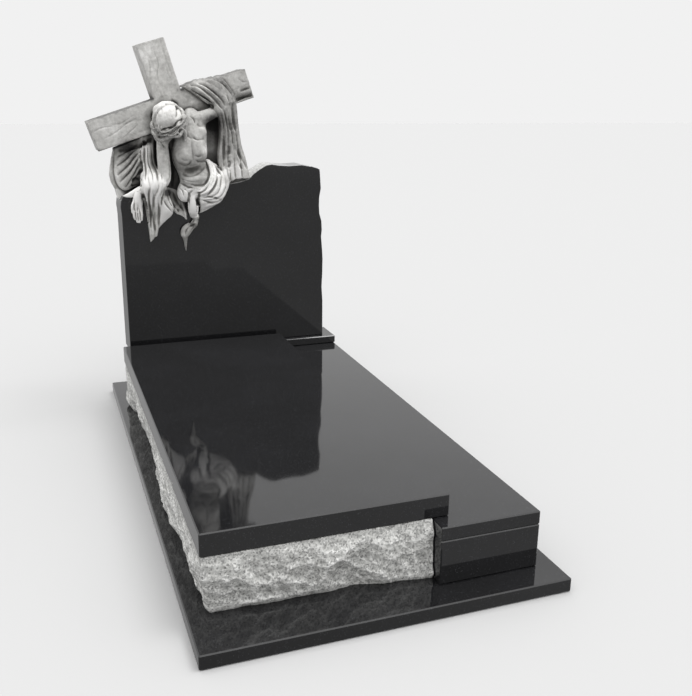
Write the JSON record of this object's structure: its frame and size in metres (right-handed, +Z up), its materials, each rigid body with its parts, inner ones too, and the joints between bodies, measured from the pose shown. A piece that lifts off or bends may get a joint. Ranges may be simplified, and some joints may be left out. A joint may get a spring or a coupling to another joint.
{
  "type": "grave monument with carved headstone",
  "caption": "Single grave monument in black granite: two-level ledger on rough and polished kerbs, and a headstone with a carved crucifix group in pale stone on its broken corner.",
  "frame": {"origin": "middle of the base slab's underside, on the ground", "axes": "+X to the right as seen from the foot of the grave, +Y from the foot towards the headstone, +Z up"},
  "size_m": [1.0427, 2, 1.4619],
  "materials": {
    "black_granite": "polished black granite",
    "rock_granite": "rock-pitched grey granite",
    "carved_stone": "carved pale grey stone"
  },
  "bodies": {
    "root": {"base_slab": "black_granite", "polished_kerb_front": "black_granite", "polished_kerb_side": "black_granite", "polished_kerb_back": "black_granite", "rock_kerb_front": "rock_granite", "rock_kerb_left": "rock_granite", "ledger_slab_side": "black_granite", "ledger_slab_main": "black_granite", "plinth_bar": "black_granite", "headstone_stele": "black_granite", "carved_crucifix_group": "carved_stone"}
  },
  "joints": []
}
